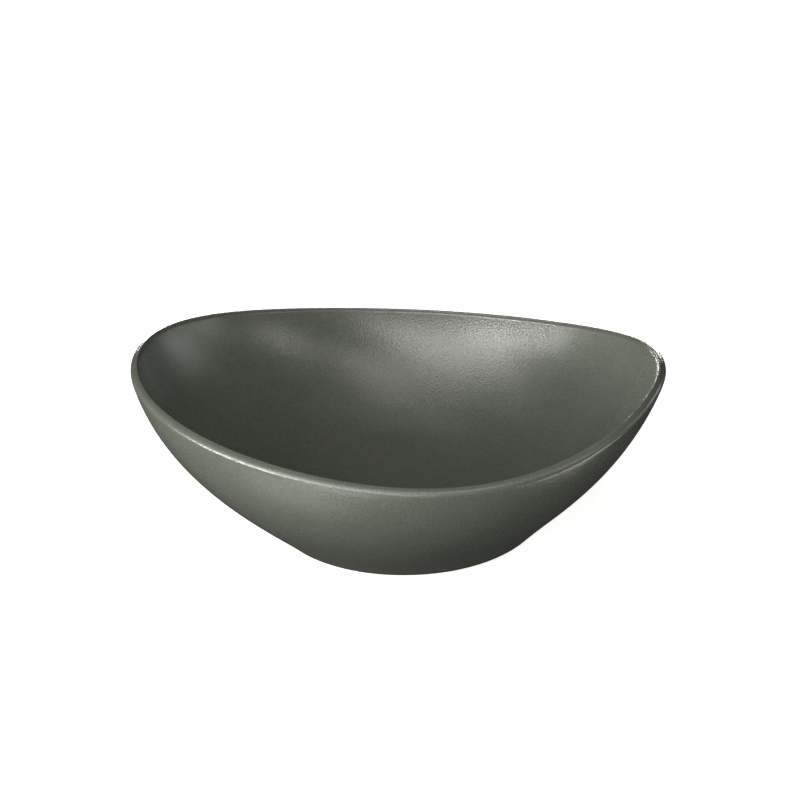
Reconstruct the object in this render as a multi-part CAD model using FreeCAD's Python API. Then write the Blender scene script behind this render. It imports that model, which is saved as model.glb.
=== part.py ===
"""Oval stoneware bowl with a wavy rim, a low foot ring and a matt glaze.

The bowl is a fired clay body with three coats of glaze on it, one solid each:
the outside coat with the rim, the inside coat, and the coat in the hollow of the foot.
Millimetres, +Z up. The origin is under the middle of the rim's outline, on the resting plane.
"""
import FreeCAD, Part
import math
import os

# Rim outline, seen from above.
RIM_LENGTH = 240.0        # along X
RIM_WIDTH = 216.0         # along Y
RIM_TAPER = 5.2           # how far the outline narrows towards +Y

# Rim height above the resting plane: a mean height and the waves that run round it.
# Each wave is its height, how many times it rises in one turn, and where it is highest in degrees.
RIM_HEIGHT = 70.4
RIM_WAVES = (
    (2.8, 1, -34.0),
    (7.8, 2, 19.0),
    (1.4, 3, 11.0),
    (0.9, 4, 4.0),
)

# Foot outline on the resting plane.
FOOT_LENGTH = 114.5       # along X
FOOT_WIDTH = 121.0        # along Y
FOOT_SHIFT_X = 2.9
FOOT_SHIFT_Y = 7.4

# Outer wall, from the foot to the rim: its slopes in degrees, at the ends and at the sides.
FOOT_SLOPE_ENDS = 47.2
FOOT_SLOPE_SIDES = 39.5
RIM_SLOPE_ENDS = 70.2
RIM_SLOPE_SIDES = 82.7
FOOT_REACH = 0.33         # how long the wall keeps its slope at the foot, as a share of the slant
RIM_REACH = 0.345         # the same at the rim

# Rim section: a soft outer roll, a narrow land that rises inwards, and a small inner roll.
LAND_WIDTH = 3.8
LAND_RISE = 1.5
OUTER_ROLL = 2.2
INNER_ROLL = 0.9

# Inside of the bowl.
WALL_LOW = 6.0            # wall thickness towards the foot
FLOOR_HEIGHT = 8.0        # the inside's lowest level above the resting plane
FLOOR_FLAT = 14.0         # about the radius of the level middle
WALL_SHARE = 0.60         # share of the inner wall that runs beside the outer wall
WALL_REACH = 0.34         # fullness of the inner curve where it leaves the wall
FLOOR_REACH = 0.42        # fullness of the inner curve where it meets the level middle

# Foot ring.
FOOT_ROUND = 1.6          # rounding at the ring's outer lower edge
RING_FACE = 4.0           # width of the face that it stands on
HOLLOW_DEPTH = 2.4        # depth of the hollow inside the ring
HOLLOW_SLOPE = 2.6        # width of the ring's inner slope

# Glaze.
GLAZE = 0.3               # thickness of every coat
BARE_SHARE = 0.02         # share of the outer wall, from the foot up, that is left bare
BARE_HOLLOW = 0.40        # share of the ring's inner slope that is left bare

FOOT_MIDDLE = FreeCAD.Vector(FOOT_SHIFT_X, FOOT_SHIFT_Y, 0.0)
ROUND = 0.55              # how full a roll is: 0.55 is close to a circular arc
STATIONS = 40             # sections round the bowl
PASSES = 60               # passes that settle a closed spline's poles


def wave_sum(turn):
    """Height of the rim above its mean at one turn angle, in radians."""
    return sum(height * math.cos(count * (turn - math.radians(at))) for height, count, at in RIM_WAVES)


def between(sides, ends, turn):
    """A value that swings from the long ends of the bowl to its sides."""
    return 0.5 * (sides + ends) + 0.5 * (ends - sides) * math.cos(2.0 * turn)


def rim_corner(turn):
    """Sharp outer corner of the rim, before it is rolled."""
    c = math.cos(turn)
    s = math.sin(turn)
    x = 0.5 * RIM_LENGTH * c - RIM_TAPER * c * s
    y = 0.5 * RIM_WIDTH * s + RIM_TAPER * c * c
    return FreeCAD.Vector(x, y, RIM_HEIGHT + wave_sum(turn))


def foot_corner(turn):
    """Outer edge of the foot on the resting plane, before it is rounded."""
    reach = FreeCAD.Vector(0.5 * FOOT_LENGTH * math.cos(turn), 0.5 * FOOT_WIDTH * math.sin(turn), 0.0)
    return FOOT_MIDDLE + reach


# A section stands upright at one turn angle. Outside the foot it runs from the foot to the rim, and
# inside the foot it runs to the foot's middle. Its points are (outwards from the foot, up), and its
# curves are cubic, with four control points.

def mix(a, b, share):
    """Point on the way from a to b."""
    return (a[0] + (b[0] - a[0]) * share, a[1] + (b[1] - a[1]) * share)


def ahead(a, b):
    """Unit direction from a to b."""
    length = math.hypot(b[0] - a[0], b[1] - a[1])
    return ((b[0] - a[0]) / length, (b[1] - a[1]) / length)


def step(a, direction, length):
    """Point at a distance from a."""
    return (a[0] + direction[0] * length, a[1] + direction[1] * length)


def split(curve, share):
    """The two halves of a cubic curve, cut at a share of its parameter."""
    a, b, c, d = curve
    ab = mix(a, b, share)
    bc = mix(b, c, share)
    cd = mix(c, d, share)
    abc = mix(ab, bc, share)
    bcd = mix(bc, cd, share)
    middle = mix(abc, bcd, share)
    return [a, ab, abc, middle], [middle, bcd, cd, d]


def roll(start, corner, end):
    """Curve that rounds a corner."""
    return [start, mix(start, corner, ROUND), mix(end, corner, ROUND), end]


def inset(points, depths):
    """Control points moved to their left by the given depths, with corners kept sharp."""
    moved = []
    for i, point in enumerate(points):
        before = ahead(points[i - 1], point) if i > 0 else ahead(point, points[1])
        after = ahead(point, points[i + 1]) if i + 1 < len(points) else before
        side = (-before[1] - after[1], before[0] + after[0])
        size = math.hypot(*side)
        normal = (side[0] / size, side[1] / size)
        stretch = normal[0] * -after[1] + normal[1] * after[0]
        moved.append(step(point, normal, depths[i] / stretch))
    return moved


def outer_wall(turn):
    """Whole outer wall, from the foot's corner to the start of the rim's roll."""
    rim = rim_corner(turn)
    run = rim - foot_corner(turn)
    corner = (math.hypot(run.x, run.y), rim.z)
    low = math.radians(between(FOOT_SLOPE_SIDES, FOOT_SLOPE_ENDS, turn))
    high = math.radians(between(RIM_SLOPE_SIDES, RIM_SLOPE_ENDS, turn))
    rising = (math.cos(high), math.sin(high))
    top = step(corner, rising, -OUTER_ROLL)
    slant = math.hypot(*top)
    foot = (0.0, 0.0)
    wall = [foot, step(foot, (math.cos(low), math.sin(low)), FOOT_REACH * slant),
            step(top, rising, -RIM_REACH * slant), top]
    return wall, corner


def glazed_section(turn):
    """Section of the finished surface, from the bare foot over the rim to the floor, as curves."""
    wall, corner = outer_wall(turn)
    edge = (corner[0] - LAND_WIDTH, corner[1] + LAND_RISE)
    land = ahead(corner, edge)
    land_start = step(corner, land, OUTER_ROLL)
    land_end = step(edge, land, -INNER_ROLL)

    rim_wall = LAND_WIDTH * ahead(wall[2], wall[3])[1] + LAND_RISE * ahead(wall[2], wall[3])[0]
    depths = [WALL_LOW + (rim_wall - WALL_LOW) * i / 3.0 for i in range(4)]
    beside = inset(wall, depths)
    inner_top = step(edge, ahead(edge, beside[2]), INNER_ROLL)
    inner_wall = split([inner_top, beside[2], beside[1], beside[0]], WALL_SHARE)[0]

    knee = inner_wall[3]
    floor = (FLOOR_FLAT - (foot_corner(turn) - FOOT_MIDDLE).Length, FLOOR_HEIGHT)
    gap = math.hypot(knee[0] - floor[0], knee[1] - floor[1])
    falling = ahead(inner_wall[2], knee)
    return [
        split(wall, BARE_SHARE)[1],
        roll(wall[3], corner, land_start),
        [land_start, mix(land_start, land_end, 1.0 / 3.0), mix(land_start, land_end, 2.0 / 3.0), land_end],
        roll(land_end, edge, inner_top),
        inner_wall,
        [knee, step(knee, falling, WALL_REACH * gap), step(floor, (1.0, 0.0), FLOOR_REACH * gap), floor],
    ]


def clay_section(turn):
    """The same section under the glaze."""
    curves = glazed_section(turn)
    points = curves[0] + [point for curve in curves[1:] for point in curve[1:]]
    under = inset(points, [GLAZE] * len(points))
    return [under[3 * i:3 * i + 4] for i in range(len(curves))]


def foot_edge(turn):
    """Rounded bare edge of the foot ring, from the face it stands on up to the glaze."""
    wall = clay_section(turn)[0]
    start = (-FOOT_ROUND, 0.0)
    rising = ahead(wall[0], wall[1])
    reach = 0.5 * math.hypot(wall[0][0] - start[0], wall[0][1])
    return [start, (start[0] + reach, 0.0), step(wall[0], rising, -reach), wall[0]]


def hollow_slope():
    """Inner slope of the foot ring in clay, from the face it stands on to the hollow's ceiling."""
    low = (-FOOT_ROUND - RING_FACE, 0.0)
    high = (low[0] - HOLLOW_SLOPE, HOLLOW_DEPTH + GLAZE)
    return [low, (low[0], ROUND * high[1]), (high[0] + ROUND * HOLLOW_SLOPE, high[1]), high]


def place(turn, point):
    """A section point in the bowl's frame."""
    foot = foot_corner(turn)
    out = rim_corner(turn) - foot if point[0] > 0.0 else foot - FOOT_MIDDLE
    out.z = 0.0
    out.normalize()
    return foot + out * point[0] + FreeCAD.Vector(0.0, 0.0, point[1])


def ring_poles(points):
    """Poles of the closed even cubic spline that passes through the points."""
    count = len(points)
    poles = points
    for _ in range(PASSES):
        poles = [points[i] * 1.5 - (poles[i - 1] + poles[(i + 1) % count]) * 0.25 for i in range(count)]
    return poles


def band(section_curve):
    """Surface that one section curve sweeps in a full turn."""
    turns = [2.0 * math.pi * i / STATIONS for i in range(STATIONS)]
    rows = [[place(turn, point) for point in section_curve(turn)] for turn in turns]
    columns = [ring_poles([row[j] for row in rows]) for j in range(len(rows[0]))]
    poles = [[column[i] for column in columns] for i in range(STATIONS)]
    degree = len(columns) - 1
    surface = Part.BSplineSurface()
    surface.buildFromPolesMultsKnots(
        poles, [1] * (STATIONS + 1), [degree + 1, degree + 1],
        [float(i) for i in range(STATIONS + 1)], [0.0, 1.0], True, False, 3, degree)
    return surface


def end_wire(surface, last):
    """Closed edge of a band, at its first or its last row of points."""
    return Part.Wire(surface.vIso(1.0 if last else 0.0).toShape())


def level_face(outline, holes=()):
    """Flat face inside a closed wire, less its holes."""
    face = Part.Face(outline)
    for hole in holes:
        face = face.cut(Part.Face(hole))
    return face.Faces[0]


def sewn_solid(faces):
    """Closed solid from faces that meet edge to edge."""
    shell = Part.Shell([face.copy() for face in faces])
    shell.sewShape()
    shell = shell.Shells[0] if shell.ShapeType != "Shell" else shell
    solid = Part.Solid(shell)
    if solid.Volume < 0.0:
        solid.reverse()
    return solid


def glazed_band(index):
    return band(lambda turn: glazed_section(turn)[index])


def clay_band(index):
    return band(lambda turn: clay_section(turn)[index])


def joint_band(index, last):
    """Narrow strip through the thickness of the glaze, at one end of a band."""
    end = 3 if last else 0
    return band(lambda turn: [glazed_section(turn)[index][end], clay_section(turn)[index][end]])


OUTSIDE = range(0, 4)     # wall, outer roll, land and inner roll
INSIDE = range(4, 6)      # inner wall and floor curve


def stoneware_body():
    """Fired clay, with its foot ring."""
    bands = [clay_band(i) for i in (*OUTSIDE, *INSIDE)]
    edge = band(foot_edge)
    slope = band(lambda turn: hollow_slope())
    faces = [surface.toShape() for surface in (*bands, edge, slope)]
    faces.append(level_face(end_wire(bands[-1], True)))
    faces.append(level_face(end_wire(edge, False), [end_wire(slope, False)]))
    faces.append(level_face(end_wire(slope, True)))
    return sewn_solid(faces)


def outer_glaze():
    """Coat on the outside wall and over the rim."""
    surfaces = [glazed_band(i) for i in OUTSIDE] + [clay_band(i) for i in OUTSIDE]
    surfaces += [joint_band(OUTSIDE[0], False), joint_band(OUTSIDE[-1], True)]
    return sewn_solid([surface.toShape() for surface in surfaces])


def inner_glaze():
    """Coat on the inside wall and floor."""
    glazed = [glazed_band(i) for i in INSIDE]
    clay = [clay_band(i) for i in INSIDE]
    faces = [surface.toShape() for surface in (*glazed, *clay, joint_band(INSIDE[0], False))]
    faces.append(level_face(end_wire(glazed[-1], True)))
    faces.append(level_face(end_wire(clay[-1], True)))
    return sewn_solid(faces)


def hollow_glaze():
    """Coat on the ceiling of the hollow in the foot and on the upper part of its slope."""
    clay_curve = split(hollow_slope(), BARE_HOLLOW)[1]
    glazed_curve = inset(clay_curve, [GLAZE] * 4)
    clay = band(lambda turn: clay_curve)
    glazed = band(lambda turn: glazed_curve)
    lip = band(lambda turn: [glazed_curve[0], clay_curve[0]])
    faces = [surface.toShape() for surface in (clay, glazed, lip)]
    faces.append(level_face(end_wire(clay, True)))
    faces.append(level_face(end_wire(glazed, True)))
    return sewn_solid(faces)


PIECES = {
    "stoneware_body": stoneware_body,
    "outer_glaze": outer_glaze,
    "inner_glaze": inner_glaze,
    "hollow_glaze": hollow_glaze,
}

os.makedirs("parts", exist_ok=True)
for name, make in PIECES.items():
    solid = make()
    if not solid.isValid():
        raise ValueError(name + " is not a valid solid")
    solid.exportStep("parts/" + name + ".step")
    box = solid.BoundBox
    print(name, round(solid.Volume, 1), "mm3", [round(v, 2) for v in (box.XMin, box.YMin, box.ZMin)],
          [round(v, 2) for v in (box.XMax, box.YMax, box.ZMax)])
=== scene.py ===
"""Oval stoneware bowl with a wavy rim and a satin-matt grey-green glaze, on a pale studio floor."""
import math

import bpy
from mathutils import Matrix, Vector


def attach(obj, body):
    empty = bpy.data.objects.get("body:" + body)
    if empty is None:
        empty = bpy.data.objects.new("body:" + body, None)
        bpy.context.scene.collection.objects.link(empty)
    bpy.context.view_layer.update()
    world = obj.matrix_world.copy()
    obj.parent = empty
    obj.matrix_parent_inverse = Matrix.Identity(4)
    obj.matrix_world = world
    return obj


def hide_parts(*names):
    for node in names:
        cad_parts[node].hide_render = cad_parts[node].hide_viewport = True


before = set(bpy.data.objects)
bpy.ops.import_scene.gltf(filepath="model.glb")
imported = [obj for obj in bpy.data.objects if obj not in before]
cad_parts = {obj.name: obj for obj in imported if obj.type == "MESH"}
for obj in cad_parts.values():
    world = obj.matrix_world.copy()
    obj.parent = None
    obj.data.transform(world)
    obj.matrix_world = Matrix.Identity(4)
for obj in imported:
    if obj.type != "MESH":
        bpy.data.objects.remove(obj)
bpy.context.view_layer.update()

bl_info = {
    "name": "Stoneware Bowl",
    "version": (1, 0, 0),
    "blender": (4, 5, 0),
    "location": "3D View > Sidebar > Bowl",
    "description": "Builds an oval glazed bowl with its clay foot, its coats of glaze and a studio",
    "category": "Add Mesh",
}

MM = 0.001


# ---------------------------------------------------------------------------
# Sizes, finishes and studio, as a user would change them
# ---------------------------------------------------------------------------

def length_prop(name, description, default):
    """A length in metres."""
    return bpy.props.FloatProperty(name=name, description=description, default=default,
                                   unit="LENGTH", precision=5)


def angle_prop(name, description, degrees):
    """An angle, kept in radians."""
    return bpy.props.FloatProperty(name=name, description=description, default=math.radians(degrees),
                                   subtype="ANGLE")


def share_prop(name, description, default):
    """A plain number, mostly between nothing and all."""
    return bpy.props.FloatProperty(name=name, description=description, default=default, precision=4)


def colour_prop(name, description, default):
    """A colour in linear light."""
    return bpy.props.FloatVectorProperty(name=name, description=description, default=default,
                                         size=3, subtype="COLOR", min=0.0, max=1.0)


class BowlShape(bpy.types.PropertyGroup):
    """The bowl's driving sizes."""
    rim_length: length_prop("Rim length", "Sharp outer edge of the rim, end to end", 240.0 * MM)
    rim_width: length_prop("Rim width", "Sharp outer edge of the rim, side to side", 216.0 * MM)
    rim_taper: length_prop("Rim taper", "How far the outline narrows towards +Y", 5.2 * MM)
    rim_height: length_prop("Rim height", "Mean height of the rim above the table", 70.4 * MM)
    tilt: length_prop("Tilt", "Height of the wave that rises once round the rim", 2.8 * MM)
    tilt_at: angle_prop("Tilt at", "Where the single wave is highest", -34.0)
    saddle: length_prop("Saddle", "Height of the wave that rises twice round the rim", 7.8 * MM)
    saddle_at: angle_prop("Saddle at", "Where the double wave is highest", 19.0)
    ripple: length_prop("Ripple", "Height of the wave that rises three times", 1.4 * MM)
    ripple_at: angle_prop("Ripple at", "Where the triple wave is highest", 11.0)
    flutter: length_prop("Flutter", "Height of the wave that rises four times", 0.9 * MM)
    flutter_at: angle_prop("Flutter at", "Where the fourfold wave is highest", 4.0)
    foot_length: length_prop("Foot length", "Outer edge of the foot along X", 114.5 * MM)
    foot_width: length_prop("Foot width", "Outer edge of the foot along Y", 121.0 * MM)
    foot_x: length_prop("Foot shift X", "Middle of the foot from the rim's middle", 2.9 * MM)
    foot_y: length_prop("Foot shift Y", "Middle of the foot from the rim's middle", 7.4 * MM)
    foot_slope_ends: angle_prop("Foot slope, ends", "Slope of the wall as it leaves the foot", 47.2)
    foot_slope_sides: angle_prop("Foot slope, sides", "Slope of the wall as it leaves the foot", 39.5)
    rim_slope_ends: angle_prop("Rim slope, ends", "Slope of the wall as it meets the rim", 70.2)
    rim_slope_sides: angle_prop("Rim slope, sides", "Slope of the wall as it meets the rim", 82.7)
    foot_reach: share_prop("Foot reach", "How long the wall keeps its slope at the foot", 0.33)
    rim_reach: share_prop("Rim reach", "How long the wall keeps its slope at the rim", 0.345)
    land_width: length_prop("Land width", "Width of the rim's top, outer to inner edge", 3.8 * MM)
    land_rise: length_prop("Land rise", "How much higher the rim's inner edge is", 1.5 * MM)
    outer_roll: length_prop("Outer roll", "Rounding of the rim's outer edge", 2.2 * MM)
    inner_roll: length_prop("Inner roll", "Rounding of the rim's inner edge", 0.9 * MM)
    wall_low: length_prop("Wall, low", "Wall thickness towards the foot", 6.0 * MM)
    floor_height: length_prop("Floor height", "The inside's lowest level above the table", 8.0 * MM)
    floor_flat: length_prop("Level middle", "Radius of the level part of the floor", 14.0 * MM)
    wall_share: share_prop("Wall share", "Share of the inner wall beside the outer wall", 0.60)
    wall_reach: share_prop("Wall fullness", "Fullness of the curve where it leaves the wall", 0.34)
    floor_reach: share_prop("Floor fullness", "Fullness of the curve where it meets the floor", 0.42)
    bare_share: share_prop("Bare foot", "Share of the outer wall that is left bare", 0.02)
    glaze: length_prop("Glaze", "Thickness of each coat of glaze", 0.3 * MM)
    unevenness: length_prop("Unevenness", "Height of the soft waves in the glazed surface", 0.05 * MM)
    wave_size: length_prop("Wave size", "Distance across a soft wave", 26.0 * MM)


class BowlFinish(bpy.types.PropertyGroup):
    """Colours, gloss and grain of the glaze and the clay."""
    glaze_colour: colour_prop("Glaze", "Main colour of the glaze", (0.110, 0.119, 0.100))
    glaze_dark: colour_prop("Glaze, dark", "Colour of the darker clouds and grains", (0.070, 0.077, 0.064))
    # The pale colour is used for the pale mottle and for the line on the inner rim roll, which is partly
    # glaze running thin and partly a painted highlight.
    glaze_pale: colour_prop("Glaze, pale", "Colour where the glaze runs thin on edges", (0.160, 0.172, 0.147))
    glaze_speck: colour_prop("Pinholes", "Colour of the few dark pinholes", (0.032, 0.034, 0.029))
    glaze_roughness: share_prop("Glaze roughness", "Mean roughness of the glaze", 0.23)
    cloud_size: length_prop("Cloud size", "Size of the broad clouds of colour", 24.0 * MM)
    mottle_size: length_prop("Mottle size", "Size of the small patches of colour", 3.5 * MM)
    pinhole_size: length_prop("Pinhole size", "Size of the pattern that the pinholes are cut from", 1.5 * MM)
    grain_size: length_prop("Grain size", "Size of the glaze's fine grain", 0.85 * MM)
    grain_height: length_prop("Grain height", "Height of the glaze's fine grain", 0.145 * MM)
    peel_height: length_prop("Peel height", "Height of the glaze's broader unevenness", 0.010 * MM)
    clay_colour: colour_prop("Clay", "Fired clay of the foot ring", (0.150, 0.125, 0.100))
    clay_dark: colour_prop("Clay, dark", "Iron specks in the clay", (0.050, 0.040, 0.032))
    sand_size: length_prop("Sand size", "Size of the grains of sand in the clay", 0.8 * MM)
    sand_height: length_prop("Sand height", "Height of the grains of sand in the clay", 0.08 * MM)
    iron_size: length_prop("Iron size", "Size of the pattern that the iron specks are cut from", 1.6 * MM)


class BowlStudio(bpy.types.PropertyGroup):
    """Camera, lights and floor."""
    camera_turn: angle_prop("Camera turn", "Camera's turn round the bowl from the -Y side", 23.02)
    camera_rise: angle_prop("Camera rise", "Camera's angle above the table", 22.76)
    camera_distance: length_prop("Camera distance", "Distance from camera to aim point", 1.3043)
    camera_lens: bpy.props.FloatProperty(name="Lens", description="Focal length in millimetres",
                                         default=130.96, unit="CAMERA")
    aim: bpy.props.FloatVectorProperty(name="Aim", description="Point that the camera looks at",
                                       default=(-0.00363, 0.01299, 0.05445), size=3, unit="LENGTH")
    light: share_prop("Light", "Strength of all the softboxes", 1.0)
    light_colour: colour_prop("Light colour", "Colour of the softboxes", (1.0, 1.0, 0.95))
    sky: share_prop("Sky", "Strength of the even light from all round", 0.025)
    floor_size: length_prop("Floor size", "Side of the square floor", 12.0)
    floor_gap: length_prop("Floor gap", "How far the floor lies under the foot", 0.1 * MM)
    floor_colour: colour_prop("Floor", "Colour of the floor", (0.90, 0.90, 0.89))
    floor_glow: share_prop("Floor glow", "How much the floor shines by itself", 0.92)


# ---------------------------------------------------------------------------
# Formulas as node trees
# ---------------------------------------------------------------------------

class Field:
    """A number or a vector in a node tree. Sums and products of fields add the nodes for them."""

    def __init__(self, socket):
        self.socket = socket
        self.tree = socket.id_data
        self.is_vector = socket.type == "VECTOR"

    def __add__(self, other):
        return work(self, "ADD", self, other)

    def __sub__(self, other):
        return work(self, "SUBTRACT", self, other)

    def __rsub__(self, other):
        return work(self, "SUBTRACT", other, self)

    def __mul__(self, other):
        if self.is_vector:
            return work(self, "SCALE", self, other)
        return work(self, "MULTIPLY", self, other)

    def __truediv__(self, other):
        return work(self, "DIVIDE", self, other)

    def __rtruediv__(self, other):
        return work(self, "DIVIDE", other, self)

    def __neg__(self):
        return self * -1.0


def work(kind, operation, *values):
    """Adds the math node for an operation, of the kind that its first argument has."""
    vector = kind.is_vector
    node = kind.tree.nodes.new("ShaderNodeVectorMath" if vector else "ShaderNodeMath")
    node.operation = operation
    for i, value in enumerate(values):
        socket = node.inputs["Scale"] if operation == "SCALE" and i == 1 else node.inputs[i]
        if isinstance(value, Field):
            kind.tree.links.new(value.socket, socket)
        else:
            socket.default_value = value
    number = operation in {"LENGTH", "DOT_PRODUCT"} and vector
    return Field(node.outputs["Value" if number or not vector else "Vector"])


def cos(angle):
    return work(angle, "COSINE", angle)


def sin(angle):
    return work(angle, "SINE", angle)


def floor(number):
    return work(number, "FLOOR", number)


def length(vector):
    return work(vector, "LENGTH", vector)


def dot(a, b):
    return work(a, "DOT_PRODUCT", a, b)


def unit(vector):
    return work(vector, "NORMALIZE", vector)


def above(number, limit):
    """One where the number is over the limit, and nought elsewhere."""
    return work(number, "GREATER_THAN", number, limit)


def held(number):
    """The number, kept between nought and one."""
    result = work(number, "ADD", number, 0.0)
    result.socket.node.use_clamp = True
    return result


def point(x, y, z=0.0):
    """A vector from three numbers, of which at least one is a field."""
    tree = next(value.tree for value in (x, y, z) if isinstance(value, Field))
    node = tree.nodes.new("ShaderNodeCombineXYZ")
    for socket, value in zip(node.inputs, (x, y, z)):
        if isinstance(value, Field):
            tree.links.new(value.socket, socket)
        else:
            socket.default_value = value
    return Field(node.outputs[0])


def parts_of(vector):
    """The three numbers of a vector."""
    node = vector.tree.nodes.new("ShaderNodeSeparateXYZ")
    vector.tree.links.new(vector.socket, node.inputs[0])
    return [Field(socket) for socket in node.outputs]


def quarter_turn(vector):
    """A vector in the section's plane, turned to its left."""
    x, y, _ = parts_of(vector)
    return point(-y, x)


# ---------------------------------------------------------------------------
# The bowl's section, worked out for every vertex
# ---------------------------------------------------------------------------
# A section stands upright at one turn angle. Outside the foot it runs from the foot to the rim, and
# inside the foot it runs to the foot's middle. Its points are (outwards from the foot, up), and its
# curves are cubic, with four control points.

ROUND = 0.55              # how full a roll is: 0.55 is close to a circular arc


def mix(a, b, share):
    return a + (b - a) * share


def ahead(a, b):
    return unit(b - a)


def split(curve, share):
    """The two halves of a cubic curve, cut at a share of its parameter."""
    a, b, c, d = curve
    ab, bc, cd = mix(a, b, share), mix(b, c, share), mix(c, d, share)
    abc, bcd = mix(ab, bc, share), mix(bc, cd, share)
    middle = mix(abc, bcd, share)
    return [a, ab, abc, middle], [middle, bcd, cd, d]


def roll(start, corner, end):
    """Curve that rounds a corner."""
    return [start, mix(start, corner, ROUND), mix(end, corner, ROUND), end]


def straight(start, end):
    """Straight line as a curve."""
    return [start, mix(start, end, 1.0 / 3.0), mix(start, end, 2.0 / 3.0), end]


def inset(points, depths):
    """Control points moved to their left by the given depths, with corners kept sharp."""
    moved = []
    for i, here in enumerate(points):
        before = ahead(points[i - 1], here) if i > 0 else ahead(here, points[1])
        after = ahead(here, points[i + 1]) if i + 1 < len(points) else before
        normal = unit(quarter_turn(before + after))
        moved.append(here + normal * (depths[i] / dot(normal, quarter_turn(after))))
    return moved


def between(sides, ends, turn):
    """A value that swings from the long ends of the bowl to its sides."""
    return (sides + ends) * 0.5 + (ends - sides) * 0.5 * cos(turn * 2.0)


def rim_corner(size, turn):
    """Sharp outer corner of the rim."""
    c, s = cos(turn), sin(turn)
    x = size["rim_length"] * 0.5 * c - size["rim_taper"] * c * s
    y = size["rim_width"] * 0.5 * s + size["rim_taper"] * c * c
    z = size["rim_height"] + turn * 0.0
    for count, wave in enumerate(("tilt", "saddle", "ripple", "flutter"), 1):
        z = z + size[wave] * cos((turn - size[wave + "_at"]) * float(count))
    return point(x, y, z)


def foot_middle(size):
    return point(size["foot_x"], size["foot_y"])


def foot_corner(size, turn):
    """Outer edge of the foot on the table."""
    reach = point(size["foot_length"] * 0.5 * cos(turn), size["foot_width"] * 0.5 * sin(turn))
    return foot_middle(size) + reach


def glazed_section(size, turn):
    """Curves of the finished surface, from the bare foot over the rim to the level floor."""
    rim = rim_corner(size, turn)
    run = rim - foot_corner(size, turn)
    run_x, run_y, height = parts_of(run)
    corner = point(length(point(run_x, run_y)), height)
    low = between(size["foot_slope_sides"], size["foot_slope_ends"], turn)
    high = between(size["rim_slope_sides"], size["rim_slope_ends"], turn)
    rising = point(cos(high), sin(high))
    top = corner - rising * size["outer_roll"]
    slant = length(top)
    foot = top * 0.0
    wall = [foot, foot + point(cos(low), sin(low)) * (size["foot_reach"] * slant),
            top - rising * (size["rim_reach"] * slant), top]

    edge = corner + point(-size["land_width"], size["land_rise"])
    land = ahead(corner, edge)
    land_start = corner + land * size["outer_roll"]
    land_end = edge - land * size["inner_roll"]

    lean_x, lean_y, _ = parts_of(rising)
    rim_wall = size["land_width"] * lean_y + size["land_rise"] * lean_x
    low_wall = size["wall_low"]
    depths = [low_wall + (rim_wall - low_wall) * (i / 3.0) for i in range(4)]
    beside = inset(wall, depths)
    inner_top = edge + ahead(edge, beside[2]) * size["inner_roll"]
    inner_wall = split([inner_top, beside[2], beside[1], beside[0]], size["wall_share"])[0]

    knee = inner_wall[3]
    radius = length(foot_corner(size, turn) - foot_middle(size))
    level = point(size["floor_flat"] - radius, size["floor_height"])
    middle = point(-radius, size["floor_height"])
    gap = length(knee - level)
    falling = ahead(inner_wall[2], knee)
    floor_curve = [knee, knee + falling * (size["wall_reach"] * gap),
                   level + point(size["floor_reach"] * gap, 0.0), level]
    return [
        split(wall, size["bare_share"])[1],
        roll(wall[3], corner, land_start),
        straight(land_start, land_end),
        roll(land_end, edge, inner_top),
        inner_wall,
        floor_curve,
        straight(level, middle),
    ]


def place(size, turn, section_point):
    """A section point in the bowl's frame."""
    foot = foot_corner(size, turn)
    out, up, _ = parts_of(section_point)
    rim_x, rim_y, _ = parts_of(rim_corner(size, turn) - foot)
    outside = unit(point(rim_x, rim_y))
    inside = unit(foot - foot_middle(size))
    direction = mix(inside, outside, above(out, 0.0))
    return foot + direction * out + point(0.0, 0.0, up)


def follow(curves, counts, row):
    """Point that runs along the curves in turn, with a count of rows for each."""
    here = curves[0][0]
    start = 0
    for curve, count in zip(curves, counts):
        t = held((row - float(start)) / float(count))
        ends = split(curve, t)[0][3]
        here = here + (ends - curve[0])
        start += count
    return here


def thinness_and_highlight(row, thin_and_highlight_rows):
    """One on the rows where the glaze runs thin and a painted highlight line lies on the inner rim roll, and
    fading to nought beside them.
    """
    total = row * 0.0
    for middle, reach in thin_and_highlight_rows:
        off = work(row, "ABSOLUTE", row - middle)
        total = total + held(1.0 - off / reach)
    return total


OUTSIDE_ROWS = (56, 10, 3, 8)     # rows along the wall, the outer roll, the land and the inner roll
INSIDE_ROWS = (36, 44, 6)         # rows along the inner wall, the curve to the floor and its level middle
OUTSIDE_THIN_AND_HIGHLIGHT = ((71.0, 2.0),)     # where the glaze runs thin and a painted highlight line lies on the inner rim roll: the middle row and the reach in rows
STATIONS = 288                    # sections round the bowl
WELD = 1e-6                       # vertices nearer than this are merged, in metres
WAVE_DETAIL = 1.5                 # finer waves on the soft waves of the surface


def size_sockets(tree):
    """Gives a tree one named input for each of the bowl's sizes, and returns them as fields."""
    for name in BowlShape.__annotations__:
        label = BowlShape.__annotations__[name].keywords["name"]
        tree.interface.new_socket(label, in_out="INPUT", socket_type="NodeSocketFloat")
    entry = tree.nodes.new("NodeGroupInput")
    return {name: Field(entry.outputs[i]) for i, name in enumerate(BowlShape.__annotations__)}


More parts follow.
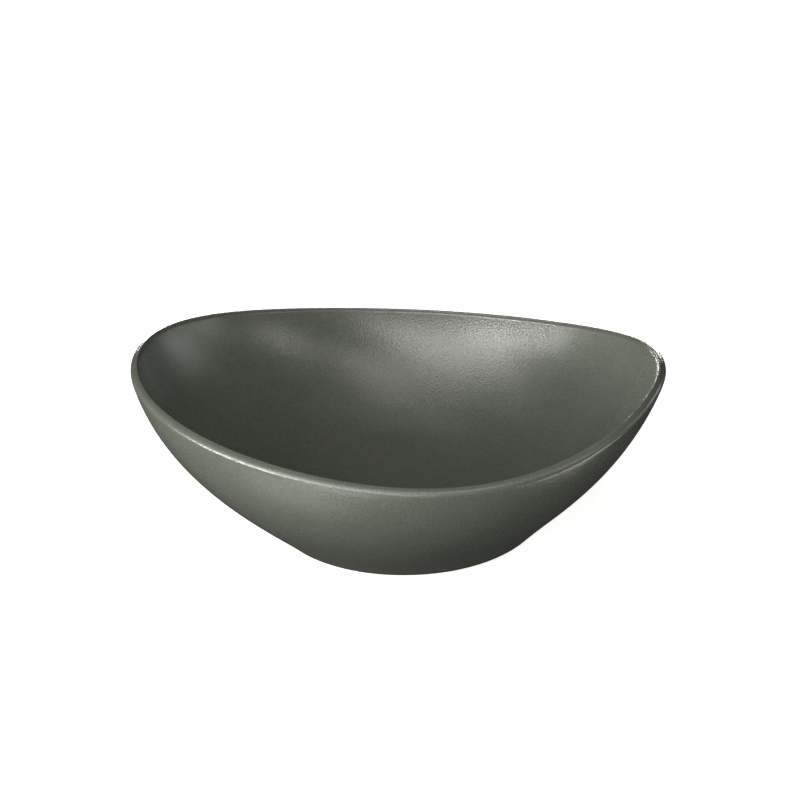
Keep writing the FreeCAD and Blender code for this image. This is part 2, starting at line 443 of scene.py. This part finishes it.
def coat_tree(name, curve_range, rows, thin_and_highlight_rows, material):
    """Node tree that sweeps a stretch of the section round the bowl.

    Around the rows that thin_and_highlight_rows names, each with its reach in rows, the glaze is marked as
    thin. This mark also lays a painted highlight line on the inner rim roll.
    """
    tree = bpy.data.node_groups.new(name, "GeometryNodeTree")
    size = size_sockets(tree)
    tree.interface.new_socket("Geometry", in_out="OUTPUT", socket_type="NodeSocketGeometry")

    def node(kind, **settings):
        made = tree.nodes.new(kind)
        for key, value in settings.items():
            setattr(made, key, value)
        return made

    count = sum(rows) + 1
    grid = node("GeometryNodeMeshGrid")
    grid.inputs["Vertices X"].default_value = STATIONS + 1
    grid.inputs["Vertices Y"].default_value = count
    index = Field(node("GeometryNodeInputIndex").outputs[0])
    column = floor((index + 0.5) / float(count))
    row = index - column * float(count)
    turn = column * (2.0 * math.pi / STATIONS)
    curves = glazed_section(size, turn)[curve_range[0]:curve_range[1]]
    shaped = node("GeometryNodeSetPosition")
    tree.links.new(grid.outputs["Mesh"], shaped.inputs["Geometry"])
    tree.links.new(place(size, turn, follow(curves, rows, row)).socket, shaped.inputs["Position"])
    # Marks the rows where the glaze runs thin. On the inner rim roll the mark also carries a painted
    # highlight line.
    marked = node("GeometryNodeStoreNamedAttribute", data_type="FLOAT", domain="POINT")
    marked.inputs["Name"].default_value = "thin_and_highlight"
    tree.links.new(shaped.outputs["Geometry"], marked.inputs["Geometry"])
    tree.links.new(thinness_and_highlight(row, thin_and_highlight_rows).socket, marked.inputs["Value"])
    closed = node("GeometryNodeMergeByDistance")
    closed.inputs["Distance"].default_value = WELD
    tree.links.new(marked.outputs["Geometry"], closed.inputs["Geometry"])

    waves = node("ShaderNodeTexNoise")
    tree.links.new((1.0 / size["wave_size"]).socket, waves.inputs["Scale"])
    waves.inputs["Detail"].default_value = WAVE_DETAIL
    normal = Field(node("GeometryNodeInputNormal").outputs[0])
    height = (Field(waves.outputs[0]) - 1.0) * size["unevenness"]
    uneven = node("GeometryNodeSetPosition")
    tree.links.new(closed.outputs["Geometry"], uneven.inputs["Geometry"])
    tree.links.new((normal * height).socket, uneven.inputs["Offset"])

    smooth = node("GeometryNodeSetShadeSmooth")
    tree.links.new(uneven.outputs["Geometry"], smooth.inputs["Geometry"])
    real = node("GeometryNodeRealizeInstances")
    tree.links.new(smooth.outputs["Geometry"], real.inputs["Geometry"])
    finish = node("GeometryNodeSetMaterial")
    finish.inputs["Material"].default_value = material
    tree.links.new(real.outputs["Geometry"], finish.inputs["Geometry"])
    leave = node("NodeGroupOutput")
    tree.links.new(finish.outputs["Geometry"], leave.inputs[0])
    return tree


def plain_mesh(name, tree):
    """Runs a node tree with the scene's sizes and keeps the result as a plain mesh object."""
    holder = bpy.data.objects.new(name + "_tree", bpy.data.meshes.new(name + "_tree"))
    bpy.context.scene.collection.objects.link(holder)
    modifier = holder.modifiers.new("Shape", "NODES")
    modifier.node_group = tree
    shape = bpy.context.scene.bowl_shape
    sockets = [item for item in tree.interface.items_tree if item.in_out == "INPUT"]
    for item, key in zip(sockets, BowlShape.__annotations__):
        modifier[item.identifier] = getattr(shape, key)
    ready = holder.evaluated_get(bpy.context.evaluated_depsgraph_get())
    mesh = bpy.data.meshes.new_from_object(ready)
    bpy.data.objects.remove(holder)
    mesh.name = name
    piece = bpy.data.objects.new(name, mesh)
    bpy.context.scene.collection.objects.link(piece)
    return piece


def coat(name, curve_range, rows, material, thin_and_highlight_rows=()):
    """One coat of glaze: its finished surface, backed to the thickness of the glaze."""
    piece = plain_mesh(name, coat_tree(name + "_shape", curve_range, rows, thin_and_highlight_rows, material))
    thick = piece.modifiers.new("Thickness", "SOLIDIFY")
    thick.thickness = bpy.context.scene.bowl_shape.glaze
    thick.offset = -1.0
    return piece


# ---------------------------------------------------------------------------
# Finishes
# ---------------------------------------------------------------------------

# The glaze's tints, laid one over the other: the pattern, the stretch of it over which the tint comes in,
# the tint's strength, and its colour.
GLAZE_TINTS = (
    ("clouds", 0.35, 0.65, 0.22, "glaze_dark"),
    ("mottle", 0.35, 0.75, 0.18, "glaze_pale"),
    ("grain", 0.25, 0.75, 0.80, "glaze_dark"),
    ("pinholes", 0.83, 0.88, 0.40, "glaze_speck"),
    # The thin tint is a pale line on the inner rim roll. It is partly glaze running thin on the edge and
    # partly a painted highlight.
    ("thin_and_highlight", 0.00, 1.00, 0.50, "glaze_pale"),
)
GLOSS_SPREAD = 0.02               # how far the glaze's roughness strays from its mean
GLAZE_IOR = 1.6
CLAY_ROUGHNESS = 0.85
COLOUR_A, COLOUR_B, COLOUR_RESULT = 6, 7, 2      # a Mix node's sockets for colours


def new_material(name):
    """A new material, its node tree and its shader."""
    material = bpy.data.materials.new(name)
    material.use_nodes = True
    tree = material.node_tree
    return material, tree, tree.nodes["Principled BSDF"]


def noise(tree, place_socket, size, detail, roughness=0.5):
    """Noise whose bumps are about a given size across, in metres."""
    node = tree.nodes.new("ShaderNodeTexNoise")
    node.inputs["Scale"].default_value = 1.0 / size
    node.inputs["Detail"].default_value = detail
    node.inputs["Roughness"].default_value = roughness
    tree.links.new(place_socket, node.inputs["Vector"])
    return node.outputs["Fac"]


def ramp(tree, factor, low, high, start=0.0, end=1.0):
    """Maps a factor's stretch from low to high onto start to end."""
    node = tree.nodes.new("ShaderNodeMapRange")
    node.inputs["From Min"].default_value = low
    node.inputs["From Max"].default_value = high
    node.inputs["To Min"].default_value = start
    node.inputs["To Max"].default_value = end
    tree.links.new(factor, node.inputs["Value"])
    return node.outputs["Result"]


def tint(tree, factor, under, over):
    """Colour that goes from one to another with a factor. Each may be a colour or a socket."""
    node = tree.nodes.new("ShaderNodeMix")
    node.data_type = "RGBA"
    tree.links.new(factor, node.inputs["Factor"])
    for socket, colour in ((node.inputs[COLOUR_A], under), (node.inputs[COLOUR_B], over)):
        if isinstance(colour, bpy.types.NodeSocket):
            tree.links.new(colour, socket)
        else:
            socket.default_value = (*colour, 1.0)
    return node.outputs[COLOUR_RESULT]


def bump(tree, height, distance, below=None):
    """Surface direction with bumps of a height in metres, on top of any bumps below."""
    node = tree.nodes.new("ShaderNodeBump")
    node.inputs["Distance"].default_value = distance
    node.inputs["Strength"].default_value = 1.0
    tree.links.new(height, node.inputs["Height"])
    if below is not None:
        tree.links.new(below, node.inputs["Normal"])
    return node.outputs["Normal"]


def glaze_material(name):
    """Satin-matt glaze: clouded colour, a fine grain, faint pinholes, and paler where it is thin. On the
    inner rim roll this paler line is partly a painted highlight.
    """
    finish = bpy.context.scene.bowl_finish
    material, tree, shader = new_material(name)
    where = tree.nodes.new("ShaderNodeTexCoord").outputs["Object"]
    # Mark for thin glaze on the inner rim roll. It also carries a painted highlight line.
    thin_and_highlight = tree.nodes.new("ShaderNodeAttribute")
    thin_and_highlight.attribute_name = "thin_and_highlight"
    patterns = {
        "clouds": noise(tree, where, finish.cloud_size, 3.0),
        "mottle": noise(tree, where, finish.mottle_size, 2.0),
        "grain": noise(tree, where, finish.grain_size, 2.0, 0.6),
        "pinholes": noise(tree, where, finish.pinhole_size, 0.0),
        "thin_and_highlight": thin_and_highlight.outputs["Fac"],
    }
    colour = finish.glaze_colour
    for pattern, low, high, strength, over in GLAZE_TINTS:
        share = ramp(tree, patterns[pattern], low, high, 0.0, strength)
        colour = tint(tree, share, colour, getattr(finish, over))
    tree.links.new(colour, shader.inputs["Base Color"])

    low, high = finish.glaze_roughness - GLOSS_SPREAD, finish.glaze_roughness + GLOSS_SPREAD
    tree.links.new(ramp(tree, patterns["mottle"], 0.3, 0.7, low, high), shader.inputs["Roughness"])
    peel = bump(tree, patterns["mottle"], finish.peel_height)
    tree.links.new(bump(tree, patterns["grain"], finish.grain_height, peel), shader.inputs["Normal"])
    shader.inputs["IOR"].default_value = GLAZE_IOR
    return material


def clay_material():
    """Bare fired clay: sandy, with iron specks."""
    finish = bpy.context.scene.bowl_finish
    material, tree, shader = new_material("bare_clay")
    where = tree.nodes.new("ShaderNodeTexCoord").outputs["Object"]
    sand = noise(tree, where, finish.sand_size, 3.0, 0.6)
    iron = ramp(tree, noise(tree, where, finish.iron_size, 1.0), 0.66, 0.74)
    tree.links.new(tint(tree, iron, finish.clay_colour, finish.clay_dark), shader.inputs["Base Color"])
    tree.links.new(bump(tree, sand, finish.sand_height), shader.inputs["Normal"])
    shader.inputs["Roughness"].default_value = CLAY_ROUGHNESS
    return material


# ---------------------------------------------------------------------------
# Operators
# ---------------------------------------------------------------------------

def settle(piece, node):
    """Lets a piece stand for a CAD node and ride with the bowl."""
    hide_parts(node)
    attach(piece, "root")


class BOWL_OT_outer_glaze(bpy.types.Operator):
    """Glaze on the outside wall and over the rim"""
    bl_idname = "bowl.outer_glaze"
    bl_label = "Outside Glaze"

    def execute(self, context):
        material = glaze_material("glaze_outside")
        piece = coat("outside_coat", (0, 4), OUTSIDE_ROWS, material, OUTSIDE_THIN_AND_HIGHLIGHT)
        settle(piece, "outer_glaze")
        return {"FINISHED"}


class BOWL_OT_inner_glaze(bpy.types.Operator):
    """Glaze on the inside wall and floor"""
    bl_idname = "bowl.inner_glaze"
    bl_label = "Inside Glaze"

    def execute(self, context):
        material = glaze_material("glaze_inside")
        piece = coat("inside_coat", (4, 7), INSIDE_ROWS, material)
        settle(piece, "inner_glaze")
        return {"FINISHED"}


class BOWL_OT_clay(bpy.types.Operator):
    """Fired clay body and the glaze in the hollow of its foot"""
    bl_idname = "bowl.clay"
    bl_label = "Clay Body"

    def execute(self, context):
        for node, material in (("stoneware_body", clay_material()),
                               ("hollow_glaze", glaze_material("glaze_under"))):
            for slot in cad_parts[node].material_slots:
                slot.link = "OBJECT"
                slot.material = material
        return {"FINISHED"}


# Softboxes: turn from the camera and rise above the table in degrees, width and height in metres, and
# power in watts. Those with table in their names, and the one behind, stand below the table's level, as
# the light that a pale table would throw back.
SOFTBOXES = {
    "key": (-45.0, 18.0, 1.30, 0.90, 15.7),
    "mid_key": (-50.0, 10.0, 0.50, 0.30, 5.0),
    "low_key": (-66.0, 6.0, 0.85, 0.26, 9.0),
    "side_key": (-78.0, 4.5, 0.60, 0.22, 8.0),
    "high_key": (-28.0, 42.0, 0.90, 0.60, 4.2),
    "front": (-4.0, 15.0, 0.60, 0.60, 3.1),
    "front_left": (-15.0, 25.0, 0.60, 0.50, 3.0),
    "high_front": (15.0, 55.0, 0.80, 0.60, 3.1),
    "top": (-10.0, 82.0, 1.20, 1.20, 1.6),
    "left": (-85.0, 25.0, 0.60, 0.80, 0.8),
    "right": (63.0, 34.0, 0.40, 0.45, 2.0),
    "right_strip": (100.0, 12.0, 0.14, 0.40, 1.1),
    "rear_strip": (124.0, 11.0, 0.05, 0.50, 1.1),
    "rear": (180.0, -5.0, 0.90, 0.14, 8.0),
    "table_left": (-60.0, -45.0, 0.80, 0.80, 2.1),
    "table_front": (-30.0, -25.0, 0.70, 0.60, 4.9),
    "table_right": (85.0, -26.0, 0.35, 0.80, 4.8),
    "table_patch": (63.0, -32.0, 0.30, 0.35, 1.5),
}
REACH = 1.5               # distance of every softbox from the bowl, in metres
MIDDLE = Vector((0.0, 0.0, 0.05))     # the point that the softboxes face
SENSOR_WIDTH = 36.0       # of the camera, in millimetres


def heading(turn, rise):
    """Unit direction from the bowl at a turn round it and a rise, both in radians."""
    level = math.cos(rise)
    return Vector((math.sin(turn) * level, -math.cos(turn) * level, math.sin(rise)))


def add_softbox(name, turn, rise, width, height, power):
    """Rectangular light that faces the bowl and isn't seen itself."""
    data = bpy.data.lights.new(name, "AREA")
    data.shape = "RECTANGLE"
    data.size = width
    data.size_y = height
    data.energy = power
    data.color = bpy.context.scene.bowl_studio.light_colour
    lamp = bpy.data.objects.new(name, data)
    bpy.context.scene.collection.objects.link(lamp)
    away = heading(turn, rise)
    lamp.location = MIDDLE + away * REACH
    lamp.rotation_mode = "QUATERNION"
    lamp.rotation_quaternion = (-away).to_track_quat("-Z", "Y")
    lamp.visible_camera = False


def add_floor(studio):
    """Pale paper under the bowl. It shows shadows, but throws no light back on the bowl."""
    mesh = bpy.data.meshes.new("floor")
    half = studio.floor_size * 0.5
    low = -studio.floor_gap
    corners = [(-half, -half, low), (half, -half, low), (half, half, low), (-half, half, low)]
    mesh.from_pydata(corners, [], [(0, 1, 2, 3)])
    ground = bpy.data.objects.new("floor", mesh)
    bpy.context.scene.collection.objects.link(ground)
    material, tree, shader = new_material("floor_paper")
    shader.inputs["Base Color"].default_value = (*studio.floor_colour, 1.0)
    shader.inputs["Roughness"].default_value = 1.0
    shader.inputs["Emission Color"].default_value = (*studio.floor_colour, 1.0)
    shader.inputs["Emission Strength"].default_value = studio.floor_glow
    mesh.materials.append(material)
    ground.visible_diffuse = False
    ground.visible_glossy = False
    ground.visible_shadow = False


def add_camera(studio):
    """Camera that looks down at the bowl from its right-hand front."""
    data = bpy.data.cameras.new("camera")
    data.sensor_width = SENSOR_WIDTH
    data.lens = studio.camera_lens
    camera = bpy.data.objects.new("camera", data)
    bpy.context.scene.collection.objects.link(camera)
    back = heading(studio.camera_turn, studio.camera_rise)
    right = Vector((math.cos(studio.camera_turn), math.sin(studio.camera_turn), 0.0))
    turned = Matrix((right, back.cross(right), back)).transposed().to_4x4()
    camera.matrix_world = Matrix.Translation(Vector(studio.aim) + back * studio.camera_distance) @ turned
    bpy.context.scene.camera = camera


def add_sky(studio):
    """Faint even light from all round."""
    world = bpy.data.worlds.new("studio")
    world.use_nodes = True
    background = world.node_tree.nodes["Background"]
    background.inputs["Color"].default_value = (1.0, 1.0, 1.0, 1.0)
    background.inputs["Strength"].default_value = studio.sky
    bpy.context.scene.world = world


class BOWL_OT_studio(bpy.types.Operator):
    """Floor, lights and camera"""
    bl_idname = "bowl.studio"
    bl_label = "Studio"

    def execute(self, context):
        studio = context.scene.bowl_studio
        add_camera(studio)
        add_floor(studio)
        add_sky(studio)
        for name, (turn, rise, width, height, power) in SOFTBOXES.items():
            add_softbox(name, studio.camera_turn + math.radians(turn), math.radians(rise), width, height,
                        power * studio.light)
        context.scene.view_settings.view_transform = "Standard"
        return {"FINISHED"}


OPERATORS = (BOWL_OT_clay, BOWL_OT_outer_glaze, BOWL_OT_inner_glaze, BOWL_OT_studio)
GROUPS = {"bowl_shape": BowlShape, "bowl_finish": BowlFinish, "bowl_studio": BowlStudio}


class BOWL_PT_panel(bpy.types.Panel):
    """Sidebar panel with the bowl's sizes, finishes and steps"""
    bl_label = "Stoneware Bowl"
    bl_idname = "BOWL_PT_panel"
    bl_space_type = "VIEW_3D"
    bl_region_type = "UI"
    bl_category = "Bowl"

    def draw(self, context):
        for name, group in GROUPS.items():
            box = self.layout.box()
            box.label(text=name.replace("_", " ").capitalize())
            for key in group.__annotations__:
                box.prop(getattr(context.scene, name), key)
        for operator in OPERATORS:
            self.layout.operator(operator.bl_idname)


def register():
    for group in (*GROUPS.values(), *OPERATORS, BOWL_PT_panel):
        bpy.utils.register_class(group)
    for name, group in GROUPS.items():
        setattr(bpy.types.Scene, name, bpy.props.PointerProperty(type=group))


def unregister():
    for name in GROUPS:
        delattr(bpy.types.Scene, name)
    for group in reversed((*GROUPS.values(), *OPERATORS, BOWL_PT_panel)):
        bpy.utils.unregister_class(group)


def main():
    register()
    for operator in OPERATORS:
        area, name = operator.bl_idname.split(".")
        getattr(getattr(bpy.ops, area), name)()


if __name__ == "__main__":
    main()
